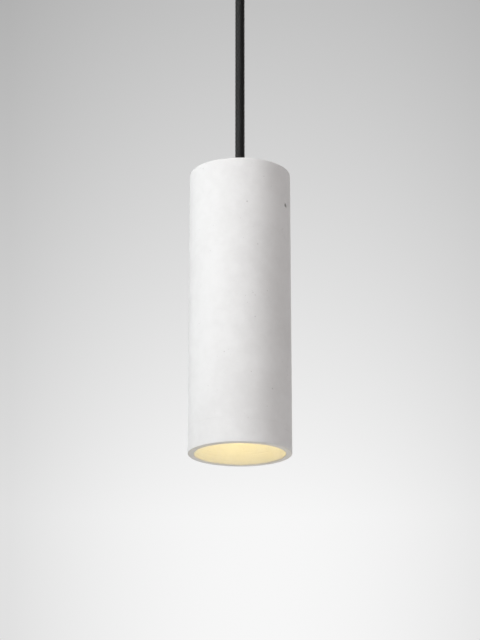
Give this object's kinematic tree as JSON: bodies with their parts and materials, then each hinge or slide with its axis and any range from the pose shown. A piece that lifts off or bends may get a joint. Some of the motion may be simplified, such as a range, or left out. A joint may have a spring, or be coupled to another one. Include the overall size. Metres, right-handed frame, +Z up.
{
  "type": "pendant ceiling light",
  "caption": "Slim cylindrical concrete tube shade on a straight braided cable under a shallow round canopy, with a recessed spot lamp shining out of its open lower end.",
  "frame": {"origin": "centre of the ceiling bracket's top face, midway between its two screw slots, in the plane of the ceiling", "axes": "+Z up into the ceiling, the light hangs down along -Z; +X through a canopy side screw; -Y towards the front"},
  "size_m": [0.108, 0.1, 0.396],
  "materials": {
    "concrete": "matte cast concrete, off-white, faintly mottled",
    "cable_braid": "black braided textile",
    "canopy_paint": "fine-textured black powder coat",
    "black_metal": "satin black",
    "zinc_steel": "zinc-plated sheet steel",
    "steel": "bright zinc plate",
    "brass": "turned brass",
    "tinned_copper": "tinned copper",
    "contact_bronze": "phosphor bronze spring strip",
    "nylon": "natural nylon",
    "rubber": "matte black rubber",
    "live_insulation": "brown insulation",
    "neutral_insulation": "blue insulation",
    "earth_insulation": "green and yellow insulation",
    "glass_sleeve": "woven heatproof sleeve",
    "ceramic": "unglazed steatite",
    "lamp_plastic": "white moulded plastic",
    "led_board": "white solder mask on aluminium",
    "circuit_board": "green circuit board",
    "lamp_lens": "frosted diffuser, lit warm white"
  },
  "bodies": {
    "ceiling_fitting": {"ceiling_bracket": "zinc_steel", "canopy": "canopy_paint", "canopy_side_screws": "black_metal", "grip_tube": "brass", "grip_locknut": "steel", "grip_toothed_washer": "steel", "grip_body": "black_metal", "grip_collet": "nylon", "grip_cap": "black_metal", "mains_terminal_body": "nylon", "mains_terminal_inserts": "brass", "mains_terminal_screws": "steel", "mains_terminal_fixings": "steel", "earth_screw": "brass", "earth_ring": "tinned_copper", "earth_jumper": "earth_insulation", "cable_tail_top": "cable_braid", "top_wire_live": "live_insulation", "top_wire_neutral": "neutral_insulation", "top_wire_earth": "earth_insulation"},
    "cable_neck": {"cord_neck": "cable_braid"},
    "cable_upper_bend": {"cord_link_top": "cable_braid"},
    "cable": {"cord_drop": "cable_braid"},
    "cable_lower_bend": {"cord_link_bottom": "cable_braid"},
    "shade": {"cord_foot": "cable_braid", "cable_tail_bottom": "cable_braid", "shade": "concrete", "collar": "black_metal", "collar_washer": "rubber", "hanger_tube": "brass", "inner_rubber_washer": "rubber", "inner_steel_washer": "steel", "inner_nut": "steel", "hanger_strap": "zinc_steel", "strap_locknut": "steel", "strain_relief": "nylon", "strain_relief_screw": "nylon", "lower_terminal_body": "nylon", "lower_terminal_inserts": "brass", "lower_terminal_screws": "steel", "lower_wire_live": "live_insulation", "lower_wire_neutral": "neutral_insulation", "lower_wire_earth": "earth_insulation", "holder_lead_live": "glass_sleeve", "holder_lead_neutral": "glass_sleeve", "strap_earth_lead": "earth_insulation", "strap_earth_ring": "tinned_copper", "strap_earth_screw": "brass", "lampholder_body": "ceramic", "lampholder_cover": "ceramic", "lampholder_contacts": "contact_bronze", "lampholder_screws": "steel", "lampholder_nuts": "steel"},
    "lamp": {"lamp_base": "lamp_plastic", "lamp_pins": "steel", "lamp_housing": "lamp_plastic", "lamp_lens": "lamp_lens", "lamp_led_board": "led_board", "lamp_driver_board": "circuit_board"}
  },
  "joints": [
    {"name": "cable_twist", "type": "hinge", "parent": "ceiling_fitting", "child": "cable_neck", "pos_m": [0, 0, -0.045], "axis": [0, 0, 1], "range_deg": [-90, 90]},
    {"name": "swing_sideways", "type": "hinge", "parent": "cable_neck", "child": "cable_upper_bend", "pos_m": [0, 0, -0.057], "axis": [0, 1, 0], "range_deg": [-25, 25]},
    {"name": "swing_forwards", "type": "hinge", "parent": "cable_upper_bend", "child": "cable", "pos_m": [0, 0, -0.077], "axis": [1, 0, 0], "range_deg": [-25, 25]},
    {"name": "shade_tilt_sideways", "type": "hinge", "parent": "cable", "child": "cable_lower_bend", "pos_m": [0, 0, -0.17], "axis": [0, 1, 0], "range_deg": [-18, 18]},
    {"name": "shade_tilt_forwards", "type": "hinge", "parent": "cable_lower_bend", "child": "shade", "pos_m": [0, 0, -0.184], "axis": [1, 0, 0], "range_deg": [-18, 18]},
    {"name": "lamp_turn", "type": "hinge", "parent": "shade", "child": "lamp", "pos_m": [0, 0, -0.3035], "axis": [0, 0, -1], "range_deg": [0, 40]}
  ]
}
